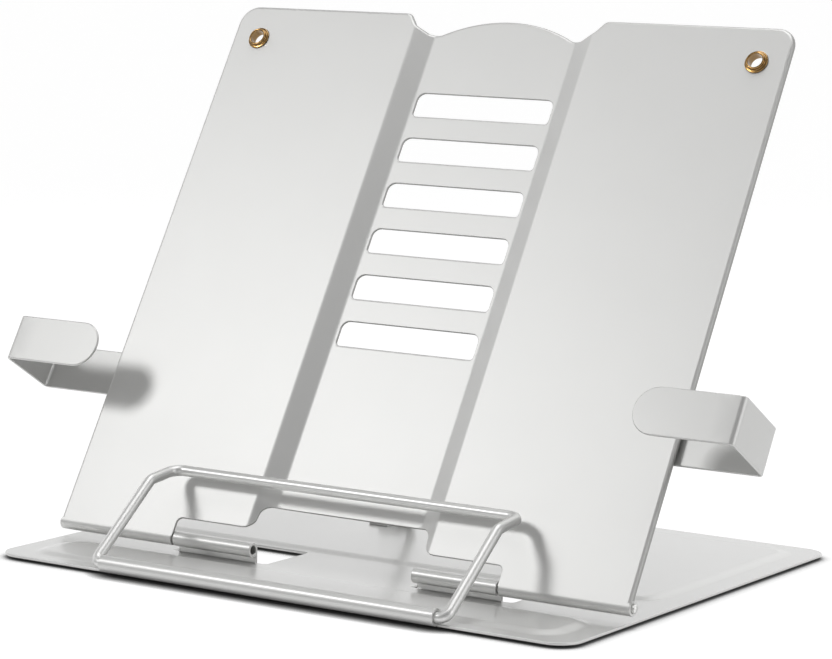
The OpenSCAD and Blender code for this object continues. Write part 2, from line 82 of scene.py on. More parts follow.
# Base plate
BASE_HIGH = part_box("base_plate")[1]
BASE_X = BASE_HIGH[0] / MM
BASE_REAR = BASE_HIGH[1] / MM
BASE_D = 190.0
BASE_FRONT = BASE_REAR - BASE_D
BASE_CORNER = 9.0
RIM_TOP = 2.0
PANEL_RISE = 1.0
PANEL_RUN = 5.5
PANEL_CORNER = 8.0
PANEL_X = BASE_X - 10.5
FRONT_PANEL = (BASE_FRONT + 8.0, HINGE[0] - 6.4)
CUTOUT_Y = (HINGE[0] + CURL_R, HINGE[0] + CURL_R + 26.3)
REAR_PANEL = (CUTOUT_Y[1] + 3.2, BASE_REAR - 10.0)
KNUCKLE_X = (33.0, 66.0)
CUTOUT_X = (KNUCKLE_X[0] - 3.6, KNUCKLE_X[1] + 3.6)
CUTOUT_R = 1.5
KNUCKLE_TURN = 318
BARREL_X = 67.0
BARREL_TURN = 308

# Back plate
PLATE_X = 116.0
PLATE_H = 211.7
PLATE_CORNER = 7.5
RIM_R = 1.4
RIM_DEPTH = 1.7
SOLID_FLANGE = 3.0
LIP_R = 0.9
CHANNEL_IN = 29.6
CHANNEL_RUN = 7.4
CHANNEL_OUT = CHANNEL_IN + CHANNEL_RUN
CHANNEL_D = 3.4
CHANNEL_BEND = 0.1
CURL_X = (KNUCKLE_X[1] + 0.8, PLATE_X)
CURL_TURN = 330
LOWER_EDGE = 7.0
CHANNEL_FOOT = 16.5
FOOT_R = 4.5
ARCH_RISE = 6.6
ARCH_R = 60.0
# Corners of the notch beside the arch: x, height over the plate's top, and radius
NOTCH = [
    (CHANNEL_OUT + 4.0, 0.0, 3.0), (CHANNEL_OUT + 0.4, -4.6, 3.0),
    (CHANNEL_IN + 1.9, -7.05, 2.5), (CHANNEL_IN - 1.8, -7.0, 4.0),
]
SLOT_X = 28.3
SLOT_H = 9.4
SLOT_R = 1.3
SLOT_TOP_R = 3.0
SLOTS = [84.1 + 18.35 * k for k in range(6)]
EYELET = (104.0, 197.8)
EYELET_HOLE_R = 3.4
# Painted edge shade begins where a face turns this far, as a cosine, and is full at the second
EDGE_SHADE_TURNS = (0.87, 0.5)

# Pins and wires
PIN_X = (40.0, 70.0, 100.0, 116.9)
RAIL_X = 70.5
RAIL_END = 47.5
RAIL_FOOT_R = 3.0
RAIL_BEND_R = 4.5
RAIL_LEG = 39.2
RAIL_LEG_ANGLE = math.radians(38.2)
RAIL_SHOULDER = 14.41
RAIL_SHOULDER_ANGLE = math.radians(6.8)
PROP_X = 25.0
PROP_LEN = 81.05
PROP_ANGLE = math.radians(126.495)
PROP_STUB = 40.0
PROP_BEND_R = 4.0
SADDLE_X = (31.0, 39.0)
SADDLE_FOOT = 6.0
SADDLE_BEND = 0.8

# Page clips
CLIP_H = 58.7
CLIP_HALF = 8.5
CLIP_X = 147.4
CLIP_TAB = 38.4
CLIP_STRIP = 79.4
CLIP_DEPTH = 26.8
CLIP_BEND = 2.0
CLIP_END_R = 2.0
CLIP_EDGE_R = 0.45
STRIP_BACK = CURL_R - SOLID_FLANGE - SLIDE_GAP - SHEET
GUIDE_X = (78.0, 108.0)
GUIDE_FOOT = 8.0
GUIDE_BEND = 0.9

# Looks
COAT_COLOR = 0.7
# Painted shade: the clip straps get a darker copy of the coat's colour
SHADED_STRAP_COLOR = 0.62
# Colour of the painted shade on the plate's cut edges and bends
EDGE_SHADE_COLOR = 0.38
COAT_ROUGH = 0.48
WIRE_COLOR = 0.75
WIRE_ROUGH = 0.42
METAL = 0.8
COAT_CLEAR = 0.9
CLEAR_ROUGH = 0.18
COAT_GRAIN = 2600

# Light: the room's strength, what glossy rays see more of it, and each lamp's name, place and size in
# metres and its power in watts
ROOM = 0.02
ROOM_SHINE = 0.28
LAMP_AIM = (0.0, 0.0, 0.08)
LAMPS = [
    ("key", (-0.81, -0.95, 1.0), (0.3, 0.3), 4.3),
    ("low_key", (-0.95, -1.15, 0.75), (0.4, 0.4), 0.7),
    ("top", (0.0, 0.1, 1.3), (1.0, 1.0), 6.4),
    ("back", (0.2, 1.2, 1.1), (1.2, 1.0), 2.5),
    ("right", (1.35, -0.05, 0.6), (0.8, 0.8), 2.0),
]
FLOOR_LIT = 0.2
FLOOR_GLOW = 0.95
# Painted contact shade on the floor: how far it reaches, in metres, and how hard it darkens
CONTACT_SHADE_REACH = 0.005
CONTACT_SHADE_POWER = 2.4

SIDES = (("left", -1), ("right", 1))


# Placing


def in_place(p):
    """Points that are drawn in the row frame already."""
    return p


def on_plate(p):
    """Turns points drawn flat (x, h, depth) onto the tilted back plate."""
    y = HINGE[0] + p[:, 1] * math.cos(TILT) - p[:, 2] * math.sin(TILT)
    z = HINGE[1] + p[:, 1] * math.sin(TILT) + p[:, 2] * math.cos(TILT)
    return np.column_stack([p[:, 0], y, z])


# Outlines


def unit(v):
    return v / np.linalg.norm(v)


def unit_rows(v):
    return v / np.linalg.norm(v, axis=1)[:, None]


def right_of(v):
    return np.array([v[1], -v[0]])


def outline(corners, step=3.0, stations=(), closed=True):
    """Points and outward normals along a path with round corners, with the material on its left.

    corners are (u, v, radius). Straight runs are cut every step, and where u passes a station.
    """
    arc_step, small_r = 1.2, 4.0
    points, normals = [], []
    n = len(corners)
    spans = []
    for i, (u, v, r) in enumerate(corners):
        p = np.array([u, v])
        if not closed and i in (0, n - 1):
            spans.append((p, p, None))
            continue
        before = np.array(corners[i - 1][:2])
        after = np.array(corners[(i + 1) % n][:2])
        a, b = unit(p - before), unit(after - p)
        turn = math.atan2(a[0] * b[1] - a[1] * b[0], a @ b)
        trim = r * math.tan(abs(turn) / 2)
        spans.append((p - a * trim, p + b * trim, (a, turn, r)))
    for i, (start, end, bend) in enumerate(spans):
        if bend:
            a, turn, r = bend
            side = -right_of(a) * math.copysign(1, turn)
            centre = start + side * r
            steps = max(3, int(abs(turn) * max(small_r, r) / arc_step))
            turns = [turn * k / steps for k in range(steps + 1)] if r else [turn / 2]
            for t in turns:
                c, s = math.cos(t), math.sin(t)
                arm = -side * r
                points.append(centre + np.array([c * arm[0] - s * arm[1], s * arm[0] + c * arm[1]]))
                heading = np.array([c * a[0] - s * a[1], s * a[0] + c * a[1]])
                normals.append(right_of(heading))
        if not closed and i == n - 1:
            break
        q = spans[(i + 1) % n][0]
        length = np.linalg.norm(q - end)
        if length < 1e-6:
            continue
        heading = (q - end) / length
        cuts = set(np.linspace(0, 1, max(1, int(length / step)) + 1)[1:-1])
        for s in stations:
            if abs(heading[0]) > 0.2:
                t = (s - end[0]) / (q[0] - end[0])
                if 0.02 < t < 0.98:
                    cuts.add(t)
        if not bend:
            cuts.add(0.0)
        for t in sorted(cuts):
            points.append(end + (q - end) * t)
            normals.append(right_of(heading))
        if not closed and i + 1 == n - 1:
            points.append(q)
            normals.append(right_of(heading))
    points, normals = np.array(points), np.array(normals)
    if closed:
        moved = np.linalg.norm(points - np.roll(points, 1, axis=0), axis=1) > 1e-6
        turned = np.linalg.norm(normals - np.roll(normals, 1, axis=0), axis=1) > 1e-3
        points, normals = points[moved | turned], normals[moved | turned]
    return points, normals


def rectangle(u0, v0, u1, v1, r, top_r=None):
    """Corners of a rectangle, counter-clockwise, with top_r for its two upper ones if it is given."""
    top_r = r if top_r is None else top_r
    return [(u0, v0, r), (u1, v0, r), (u1, v1, top_r), (u0, v1, top_r)]


def strip(path, step=2.0, thickness=SHEET, end_r=0.25):
    """Closed outline of a bent strip of sheet, given the corners of its middle line."""
    points, normals = outline(path, step, closed=False)
    half = thickness / 2
    right, left = points + normals * half, points - normals * half
    loop_points, loop_normals = list(right), list(normals)

    def add_end(p, side, heading):
        for corner in (1, -1):
            centre = p + side * corner * (half - end_r) - heading * end_r
            for k in range(4):
                t = math.radians(90 * (k + 0.5) / 4)
                a, b = (math.cos(t), math.sin(t)) if corner > 0 else (math.sin(t), math.cos(t))
                direction = side * corner * a + heading * b
                loop_points.append(centre + direction * end_r)
                loop_normals.append(direction)

    loop_points.pop()
    loop_normals.pop()
    add_end(points[-1], normals[-1], unit(points[-1] - points[-2]))
    for k in range(len(points) - 2, 0, -1):
        loop_points.append(left[k])
        loop_normals.append(-normals[k])
    add_end(points[0], -normals[0], unit(points[0] - points[1]))
    return np.array(loop_points), np.array(loop_normals)


def roll(centre, r, start, turn, lead):
    """Corners of a strip's middle line that comes straight along lead and rolls round centre.

    start is the angle where the straight part meets the roll, and turn its signed sweep, in degrees.
    """
    steps = max(8, int(abs(turn) / ROLL_STEP))
    arc = []
    for k in range(steps + 1):
        t = math.radians(start + turn * k / steps)
        arc.append((centre[0] + r * math.cos(t), centre[1] + r * math.sin(t), 0.0))
    return lead + arc


# Meshes


def frame_at(surface, uv):
    """Points of a surface, their unit normals, and its slopes along u and v."""
    e = 0.01
    p = surface(uv)
    du = (surface(uv + (e, 0)) - surface(uv - (e, 0))) / (2 * e)
    dv = (surface(uv + (0, e)) - surface(uv - (0, e))) / (2 * e)
    return p, unit_rows(np.cross(du, dv)), du, dv


def inside_loop(points, loop):
    """Whether each point lies inside a closed loop."""
    x, y = points[:, 0][:, None], points[:, 1][:, None]
    a, b = loop, np.roll(loop, -1, axis=0)
    crosses = (a[:, 1] > y) != (b[:, 1] > y)
    with np.errstate(divide="ignore", invalid="ignore"):
        at = a[:, 0] + (y - a[:, 1]) * (b[:, 0] - a[:, 0]) / (b[:, 1] - a[:, 1])
    return (np.sum(crosses & (x < at), axis=1) % 2) == 1


def on_sheet(points, loops):
    """Whether each point lies inside the first loop and outside the others."""
    keep = inside_loop(points, loops[0])
    for hole in loops[1:]:
        keep &= ~inside_loop(points, hole)
    return keep


def edge_profile(thickness, edge_r, flange=None, front_r=None):
    """(inset, lowering, normal angle) of each ring round a sheet's edge, from its front to its back."""
    arc = np.radians(np.linspace(0, 90, 7))
    rings = []
    if flange is None:
        front_r = front_r or edge_r
        for t in arc:
            rings.append((front_r * (1 - math.sin(t)), front_r * (1 - math.cos(t)), t))
        low = thickness - edge_r
        for k in range(1, 7):
            rings.append((0.0, front_r + (low - front_r) * k / 7, math.pi / 2))
        for t in arc[::-1]:
            rings.append((edge_r * (1 - math.sin(t)), thickness - edge_r * (1 - math.cos(t)), math.pi - t))
        return rings
    bend_r, depth = flange
    cut = 0.2
    for t in arc:
        rings.append((bend_r * (1 - math.sin(t)), bend_r * (1 - math.cos(t)), t))
    rings.append((0.0, depth - cut, math.pi / 2))
    rings.append((cut, depth, math.pi * 0.9))
    rings.append((thickness / 2, depth, math.pi))
    rings.append((thickness - cut, depth, math.pi * 1.1))
    rings.append((thickness, depth - cut, math.pi * 1.5))
    inner = bend_r - thickness
    rings.append((thickness, bend_r + 0.02, math.pi * 1.5))
    for t in arc[::-1]:
        rings.append((bend_r - inner * math.sin(t), bend_r - inner * math.cos(t), math.pi + t))
    return rings


def face_triangles(loops, fill):
    """Flat points of a face with holes, its triangles, and for each point its place in the loops or None."""
    near_edge = 0.09
    flat = np.concatenate(loops)
    fill = np.array(fill, dtype=float).reshape(-1, 2)
    if len(fill):
        fill = fill[on_sheet(fill, loops)]
    if len(fill):
        gap = np.array([np.min(np.sum((flat - q) ** 2, axis=1)) for q in fill])
        fill = fill[gap > near_edge]
    edges = []
    offset = 0
    for loop in loops:
        edges += [(offset + i, offset + (i + 1) % len(loop)) for i in range(len(loop))]
        offset += len(loop)
    everything = [Vector(q) for q in np.concatenate([flat, fill])]
    out = delaunay_2d_cdt(everything, edges, [], 0, 1e-7)
    points = np.array([tuple(v) for v in out[0]])
    triangles = np.array([t for t in out[2] if len(t) == 3])
    triangles = triangles[on_sheet(points[triangles].mean(axis=1), loops)]
    a, b, c = (points[triangles[:, k]] for k in range(3))
    area = (b[:, 0] - a[:, 0]) * (c[:, 1] - a[:, 1]) - (b[:, 1] - a[:, 1]) * (c[:, 0] - a[:, 0])
    triangles[area < 0] = triangles[area < 0][:, ::-1]
    source = [ids[0] if ids and ids[0] < len(flat) else None for ids in out[3]]
    return points, triangles, source


def sheet(surface, loops, fill=(), thickness=SHEET, edge_r=EDGE_R, flange=None, flanged=None, lip_r=EDGE_R):
    """Vertices, faces and normals of a sheet whose front is a surface over a flat outline.

    loops are outlines of points and outward normals, the outer one first. fill holds flat points
    inside it. flanged says for a point whether the sheet is bent back there, as flange gives.
    lip_r rounds the front of each hole's lower edge.
    """
    back_lip_r = min(edge_r, (thickness - lip_r) * 0.8)
    plain = np.array(edge_profile(thickness, edge_r))
    lip = np.array(edge_profile(thickness, back_lip_r, None, lip_r))
    bent = np.array(edge_profile(thickness, edge_r, flange)) if flange else plain
    verts, normals, faces = [], [], []
    count = 0
    first, last, flat_loops = [], [], []
    for points, outward in loops:
        weight = np.array([1.0 if flange and flanged(p) else 0.0 for p in points])[:, None]
        rounded = np.clip(outward[:, 1:], 0, 1) ** 2 if count else 0.0
        n = len(points)
        for k in range(len(plain)):
            ring = plain[k] * (1 - weight) + bent[k] * weight
            ring = ring * (1 - rounded) + lip[k] * rounded
            uv = points - outward * ring[:, :1]
            p, normal, du, dv = frame_at(surface, uv)
            side = unit_rows(du * outward[:, :1] + dv * outward[:, 1:])
            verts.append(p - normal * ring[:, 1:2])
            normals.append(normal * np.cos(ring[:, 2:]) + side * np.sin(ring[:, 2:]))
            start = count + k * n
            if k:
                for i in range(n):
                    j = (i + 1) % n
                    faces.append((start - n + i, start + i, start + j, start - n + j))
            else:
                flat_loops.append(uv)
        first.append(np.arange(count, count + n))
        last.append(np.arange(count + (len(plain) - 1) * n, count + len(plain) * n))
        count += len(plain) * n
    flat, triangles, source = face_triangles(flat_loops, fill)
    ring_first, ring_last = np.concatenate(first), np.concatenate(last)
    extra = [k for k, s in enumerate(source) if s is None]
    if extra:
        p, normal, _, _ = frame_at(surface, flat[extra])
        verts += [p, p - normal * thickness]
        normals += [normal, -normal]
    front = np.zeros(len(flat), dtype=int)
    back = np.zeros(len(flat), dtype=int)
    for k, s in enumerate(source):
        if s is not None:
            front[k], back[k] = ring_first[s], ring_last[s]
    for order, k in enumerate(extra):
        front[k] = count + order
        back[k] = count + len(extra) + order
    faces += [tuple(int(v) for v in front[t]) for t in triangles]
    faces += [tuple(int(v) for v in back[t][::-1]) for t in triangles]
    return np.concatenate(verts), faces, np.concatenate(normals)


def extruded(profile, x0, x1, place=in_place, edge_r=0.2):
    """A profile in (y, z), or in (h, depth) on the plate, pushed along x from x0 to x1."""

    def end_face(uv):
        return place(np.column_stack([np.full(len(uv), x1), uv]))

    return sheet(end_face, [profile], thickness=x1 - x0, edge_r=edge_r)


def tube(path, r, sides=32):
    """A wire along a smooth path, with a small chamfer at each end."""
    path = np.array(path, dtype=float)
    ahead = unit_rows(np.gradient(path, axis=0))
    side = np.cross(ahead[0], (0.3, 0.5, 0.8))
    side /= np.linalg.norm(side)
    turn = np.linspace(0, 2 * math.pi, sides, endpoint=False)
    verts, normals, faces = [], [], []
    chamfer = r * 0.12
    stations = [(0, r - chamfer, 0.0, 1.0)]
    stations += [(k, r, chamfer if k == 0 else 0.0, 0.0) for k in range(len(path) - 1)]
    stations += [(len(path) - 1, r, -chamfer, 0.0), (len(path) - 1, r - chamfer, 0.0, -1.0)]
    for k, radius, along, cap in stations:
        side = side - ahead[k] * (side @ ahead[k])
        side /= np.linalg.norm(side)
        other = np.cross(ahead[k], side)
        ring = np.cos(turn)[:, None] * side + np.sin(turn)[:, None] * other
        verts.append(path[k] + ahead[k] * along + ring * radius)
        normals.append(unit_rows(ring - ahead[k] * cap))
    for k in range(1, len(stations)):
        for i in range(sides):
            j = (i + 1) % sides
            a, b = (k - 1) * sides, k * sides
            faces.append((a + i, a + j, b + j, b + i))
    faces.append(tuple(range(sides - 1, -1, -1)))
    top = (len(stations) - 1) * sides
    faces.append(tuple(range(top, top + sides)))
    return np.concatenate(verts), faces, np.concatenate(normals)


def bent_path(corners, step=6.0):
    """Smooth path through corners (x, y, z, bend radius), which bends at each inner one."""
    points = [np.array(c[:3], dtype=float) for c in corners]
    path = [points[0]]
    for k in range(1, len(points) - 1):
        a, b = unit(points[k] - points[k - 1]), unit(points[k + 1] - points[k])
        turn = math.acos(np.clip(a @ b, -1, 1))
        r = corners[k][3]
        trim = r * math.tan(turn / 2)
        start = points[k] - a * trim
        middle = start + unit(b - a * (a @ b)) * r
        arm = start - middle
        steps = max(4, int(math.degrees(turn) / step))
        for i in range(steps + 1):
            t = turn * i / steps
            path.append(middle + arm * math.cos(t) + a * r * math.sin(t))
    path.append(points[-1])
    return path


def lathe(profile, place, sides=64):
    """Vertices and faces of a profile of (radius, depth) turned about the depth axis."""
    turn = np.linspace(0, 2 * math.pi, sides, endpoint=False)
    verts, faces = [], []
    for r, d in profile:
        verts.append(np.column_stack([r * np.cos(turn), r * np.sin(turn), np.full(sides, d)]))
    for k in range(1, len(profile)):
        for i in range(sides):
            j = (i + 1) % sides
            a, b = (k - 1) * sides, k * sides
            faces.append((a + i, a + j, b + j, b + i))
    return place(np.concatenate(verts)), faces, None


def joined(*parts):
    """Several lots of vertices, faces and normals as one."""
    verts, faces, normals = [], [], []
    count = 0
    for v, f, n in parts:
        verts.append(v)
        normals.append(n)
        faces += [tuple(i + count for i in face) for face in f]
        count += len(v)
    return np.concatenate(verts), faces, np.concatenate(normals)


def piece(name, geometry, material, body, node=None):
    """Makes an object that rides on a body, and stands for a CAD node if one is named."""
    verts, faces, normals = geometry
    mesh = bpy.data.meshes.new(name)
    mesh.from_pydata((verts * MM).tolist(), [], faces)
    mesh.polygons.foreach_set("use_smooth", [True] * len(mesh.polygons))
    if normals is None:
        mesh.set_sharp_from_angle(angle=math.radians(40))
    else:
        mesh.normals_split_custom_set_from_vertices(normals.tolist())
    mesh.materials.append(material)
    obj = bpy.data.objects.new(name, mesh)
    bpy.context.scene.collection.objects.link(obj)
    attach(obj, body)
    if node:
        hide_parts(node)
    return obj


# Materials


def new_material(name, color, roughness, metallic=0.0, coat=0.0):
    """A Principled material and its shader."""
    material = bpy.data.materials.new(name)
    material.use_nodes = True
    shader = material.node_tree.nodes["Principled BSDF"]
    shader.inputs["Base Color"].default_value = (*color, 1)
    shader.inputs["Roughness"].default_value = roughness
    shader.inputs["Metallic"].default_value = metallic
    shader.inputs["Coat Weight"].default_value = coat
    return material, shader


def add_grain(material, shader, scale, bump, color_a, color_b, rough_a, rough_b):
    """Fine grain: noise in the surface's height, colour and roughness, at a scale per metre."""
    tree = material.node_tree
    coords = tree.nodes.new("ShaderNodeTexCoord")
    fine = tree.nodes.new("ShaderNodeTexNoise")
    fine.inputs["Scale"].default_value = scale
    fine.inputs["Detail"].default_value = 3
    broad = tree.nodes.new("ShaderNodeTexNoise")
    broad.inputs["Scale"].default_value = scale / 60
    broad.inputs["Detail"].default_value = 2
    tree.links.new(coords.outputs["Object"], fine.inputs["Vector"])
    tree.links.new(coords.outputs["Object"], broad.inputs["Vector"])
    lift = tree.nodes.new("ShaderNodeBump")
    lift.inputs["Strength"].default_value = bump
    lift.inputs["Distance"].default_value = 0.00005
    tree.links.new(fine.outputs["Fac"], lift.inputs["Height"])
    tree.links.new(lift.outputs["Normal"], shader.inputs["Normal"])
    tint = tree.nodes.new("ShaderNodeMix")
    tint.data_type = "RGBA"
    tint.inputs["A"].default_value = (*color_a, 1)
    tint.inputs["B"].default_value = (*color_b, 1)
    tree.links.new(broad.outputs["Fac"], tint.inputs["Factor"])
    tree.links.new(tint.outputs["Result"], shader.inputs["Base Color"])
    gloss = tree.nodes.new("ShaderNodeMapRange")
    gloss.inputs["To Min"].default_value = rough_a
    gloss.inputs["To Max"].default_value = rough_b
    tree.links.new(fine.outputs["Fac"], gloss.inputs["Value"])
    tree.links.new(gloss.outputs["Result"], shader.inputs["Roughness"])


def coat_material(name, c, r, clear):
    """Silver-grey metallic paint of colour c and roughness r, with or without a glossier skin."""
    dark, light = (c - 0.01, c - 0.01, c - 0.02), (c + 0.01, c + 0.01, c)
    material, shader = new_material(name, (c, c, c - 0.01), r, METAL, clear)
    shader.inputs["Coat Roughness"].default_value = CLEAR_ROUGH
    add_grain(material, shader, COAT_GRAIN, 0.1, dark, light, r - 0.02, r + 0.03)
    return material


def steel_material():
    """Plain steel with fine marks."""
    material, shader = new_material("steel", (0.55, 0.55, 0.54), 0.3, metallic=1.0)
    add_grain(material, shader, 1800, 0.15, (0.7, 0.7, 0.69), (0.8, 0.8, 0.78), 0.22, 0.4)
    return material


def brass_material():
    """Brass, with painted shade: its colour darker where it is sheltered."""
    material, shader = new_material("brass", (0.42, 0.25, 0.08), 0.2, metallic=1.0, coat=0.6)
    add_grain(material, shader, 1500, 0.08, (0.38, 0.21, 0.06), (0.48, 0.29, 0.1), 0.14, 0.24)
    tree = material.node_tree
    tint = shader.inputs["Base Color"].links[0].from_socket
    # Painted shade: occlusion darkens the brass colour in its bore and hollows
    painted_hollow_shade = tree.nodes.new("ShaderNodeAmbientOcclusion")
    painted_hollow_shade.samples = 8
    painted_hollow_shade.inputs["Distance"].default_value = 0.006
    tree.links.new(tint, painted_hollow_shade.inputs["Color"])
    tree.links.new(painted_hollow_shade.outputs["Color"], shader.inputs["Base Color"])
    return material


def rubber_material():
    """Matt black rubber."""
    material, shader = new_material("rubber", (0.03, 0.03, 0.03), 0.7)
    add_grain(material, shader, 900, 0.3, (0.025, 0.025, 0.025), (0.04, 0.04, 0.04), 0.62, 0.8)
    return material


def paint_edge_shade(material, color):
    """Painted shade: darker colour where a mesh's edge attribute is 1, standing in for the shade on cut
    edges and bends.
    """
    tree = material.node_tree
    shader = tree.nodes["Principled BSDF"]
    tint = shader.inputs["Base Color"].links[0].from_socket
    edge = tree.nodes.new("ShaderNodeAttribute")
    edge.attribute_name = "edge"
    shade = tree.nodes.new("ShaderNodeMix")
    shade.data_type = "RGBA"
    shade.inputs["B"].default_value = (color, color, color - 0.01, 1)
    tree.links.new(tint, shade.inputs["A"])
    tree.links.new(edge.outputs["Fac"], shade.inputs["Factor"])
    tree.links.new(shade.outputs["Result"], shader.inputs["Base Color"])


COAT = coat_material("coat", COAT_COLOR, COAT_ROUGH, 0.0)
# Painted shade on the plate's cut edges and bends
paint_edge_shade(COAT, EDGE_SHADE_COLOR)
GLOSS = coat_material("gloss_coat", COAT_COLOR, COAT_ROUGH, COAT_CLEAR)
# Painted shade: a darker copy of the coat for the clip straps
SHADED_STRAP = coat_material("strap_coat_shaded", SHADED_STRAP_COLOR, COAT_ROUGH, COAT_CLEAR)
WIRE = coat_material("wire", WIRE_COLOR, WIRE_ROUGH, COAT_CLEAR)
STEEL = steel_material()
BRASS = brass_material()
RUBBER = rubber_material()


# Base plate


def rounded_distance(x, y, box, r):
    """Signed distance to a rectangle with round corners, below zero inside."""
    x0, y0, x1, y1 = box
    dx = np.abs(x - (x0 + x1) / 2) - (x1 - x0) / 2 + r
    dy = np.abs(y - (y0 + y1) / 2) - (y1 - y0) / 2 + r
    outside = np.hypot(np.maximum(dx, 0), np.maximum(dy, 0))
    return outside + np.minimum(np.maximum(dx, dy), 0) - r


PANELS = [(-PANEL_X, y0, PANEL_X, y1) for y0, y1 in (FRONT_PANEL, REAR_PANEL)]


def base_surface(uv):
    """Top of the base plate, with its two pressed panels."""
    z = np.full(len(uv), RIM_TOP)
    for box in PANELS:
        t = np.clip(0.5 - rounded_distance(uv[:, 0], uv[:, 1], box, PANEL_CORNER) / PANEL_RUN, 0, 1)
        z = z + PANEL_RISE * t * t * (3 - 2 * t)
    return np.column_stack([uv, z])


def base_fill():
    """Points on the slopes round the panels and a coarse grid between them."""
    points = []
    for x0, y0, x1, y1 in PANELS:
        for k in np.linspace(-0.5, 0.5, 9):
            grow = PANEL_RUN * k
            ring = rectangle(x0 - grow, y0 - grow, x1 + grow, y1 + grow, PANEL_CORNER + grow)
            points += list(outline(ring, 4.0)[0])
    clear = PANEL_RUN * 0.75
    for x in np.arange(-BASE_X + 4, BASE_X, 12.0):
        for y in np.arange(BASE_FRONT + 3, BASE_REAR, 12.0):
            if all(abs(rounded_distance(x, y, box, PANEL_CORNER)) > clear for box in PANELS):
                points.append((x, y))
    return points


def base_sheet():
    outer = outline(rectangle(-BASE_X, BASE_FRONT, BASE_X, BASE_REAR, BASE_CORNER), 4.0)
    loops = [outer]
    for _, side in SIDES:
        x0, x1 = sorted((side * CUTOUT_X[0], side * CUTOUT_X[1]))
        hole = rectangle(x0, CUTOUT_Y[0], x1, CUTOUT_Y[1], CUTOUT_R)[::-1]
        loops.append(outline(hole, 4.0))
    return sheet(base_surface, loops, base_fill())


def knuckle_profile():
    """Tab bent up at the front of its cut-out and rolled forwards over the hinge pin."""
    middle_r = CURL_R - SHEET / 2
    riser = HINGE[0] + middle_r
    low = RIM_TOP - SHEET / 2 - SUNK
    foot = [(riser - 3.0, low, 0.0), (riser, low, 1.1)]
    return strip(roll(HINGE, middle_r, 0, KNUCKLE_TURN, foot))


def barrel_profile():
    """Front edge of the base rolled up and back over the rail's wire."""
    middle_r = BARREL_R - SHEET / 2
    y, z = RAIL_AXIS
    high, low = RIM_TOP - SHEET / 2 - SUNK, z - middle_r
    lead = [(y + 6.0, high, 0.0), (y + 3.2, high, 2.0), (y + 0.8, low, 0.5)]
    return strip(roll((y, z), middle_r, -90, -BARREL_TURN, lead))


def make_base():
    parts = [base_sheet(), extruded(barrel_profile(), -BARREL_X, BARREL_X)]
    for _, side in SIDES:
        x0, x1 = sorted((side * KNUCKLE_X[0], side * KNUCKLE_X[1]))
        parts.append(extruded(knuckle_profile(), x0, x1))
    piece("base_sheet", joined(*parts), GLOSS, "base", "base_plate")


# Back plate


def soft_ramp(t, w):
    """Ramp from 0 to 1 over t from 0 to 1, with its two corners rounded over a width w."""

    def area(s):
        return np.where(s < 0, 0, np.where(s < 1, s * s / 2, s - 0.5))

    return (area(t + w) - area(t - w)) / (2 * w)


INNER_BEND = list(np.linspace(-CHANNEL_BEND, CHANNEL_BEND, 7))
OUTER_BEND = list(np.linspace(1 - CHANNEL_BEND, 1 + CHANNEL_BEND, 7))
CHANNEL_STATIONS = [
    side * (CHANNEL_IN + CHANNEL_RUN * t)
    for side in (-1, 1)
    for t in INNER_BEND + [0.35, 0.5, 0.65] + OUTER_BEND
]


def plate_depth(x):
    """Depth of the plate's front face across its width."""
    rise = soft_ramp((np.abs(x) - CHANNEL_IN) / CHANNEL_RUN, CHANNEL_BEND)
    return CURL_R - CHANNEL_D * (1 - rise)


def plate_surface(uv):
    return on_plate(np.column_stack([uv, plate_depth(uv[:, 0])]))


def plate_outline():
    """Outer edge of the plate, counter-clockwise from its lower left corner."""
    lower_in = CURL_X[0] - ROLL_GAP
    foot = CHANNEL_OUT - 2.5
    right = [
        (foot, CHANNEL_FOOT, FOOT_R), (foot, LOWER_EDGE, FOOT_R), (lower_in, LOWER_EDGE, 2.0),
        (lower_in, -EDGE_R, EDGE_R), (PLATE_X, -EDGE_R, EDGE_R), (PLATE_X, PLATE_H, PLATE_CORNER),
    ]
    right += [(x, PLATE_H + h, r) for x, h, r in NOTCH]
    left = [(-x, h, r) for x, h, r in right[::-1]]
    crown = [(0.0, PLATE_H + ARCH_RISE, ARCH_R)]
    return outline(right + crown + left, 3.0, CHANNEL_STATIONS)


def is_flanged(p):
    """The plate is bent back along its sides and top."""
    on_side = p[1] > -EDGE_R and abs(p[0]) > PLATE_X - 0.5
    return on_side or p[1] > PLATE_H - 12


def plate_fill():
    """Points along the channel's bends and a coarse grid beside it."""
    points = [(x, h) for x in CHANNEL_STATIONS for h in np.arange(8.0, PLATE_H - 2, 2.0)]
    for side in (-1, 1):
        for x in np.arange(42.0, PLATE_X, 8.0):
            points += [(side * x, h) for h in np.arange(2, PLATE_H, 8)]
    return points


def make_plate():
    loops = [plate_outline()]
    for h in SLOTS:
        low, high = h - SLOT_H / 2, h + SLOT_H / 2
        slot = rectangle(-SLOT_X, low, SLOT_X, high, SLOT_R, SLOT_TOP_R)[::-1]
        loops.append(outline(slot, 4.0))
    r = EYELET_HOLE_R
    for _, side in SIDES:
        x, h = side * EYELET[0], EYELET[1]
        loops.append(outline(rectangle(x - r, h - r, x + r, h + r, r)[::-1], 2.0))
    rim = (RIM_R, RIM_DEPTH)
    face = sheet(plate_surface, loops, plate_fill(), flange=rim, flanged=is_flanged, lip_r=LIP_R)
    middle_r = CURL_R - SHEET / 2
    gap = math.degrees(ROLL_GAP / middle_r)
    curl = strip(roll((0.0, 0.0), middle_r, 90, CURL_TURN - gap, [(0.25, middle_r, 0.0)]))
    parts = [face]
    for _, side in SIDES:
        x0, x1 = sorted((side * CURL_X[0], side * CURL_X[1]))
        parts.append(extruded(curl, x0, x1, on_plate))
    plate = piece("back_sheet", joined(*parts), COAT, "plate", "back_plate")
    mark_edge_shade(plate, face[2])


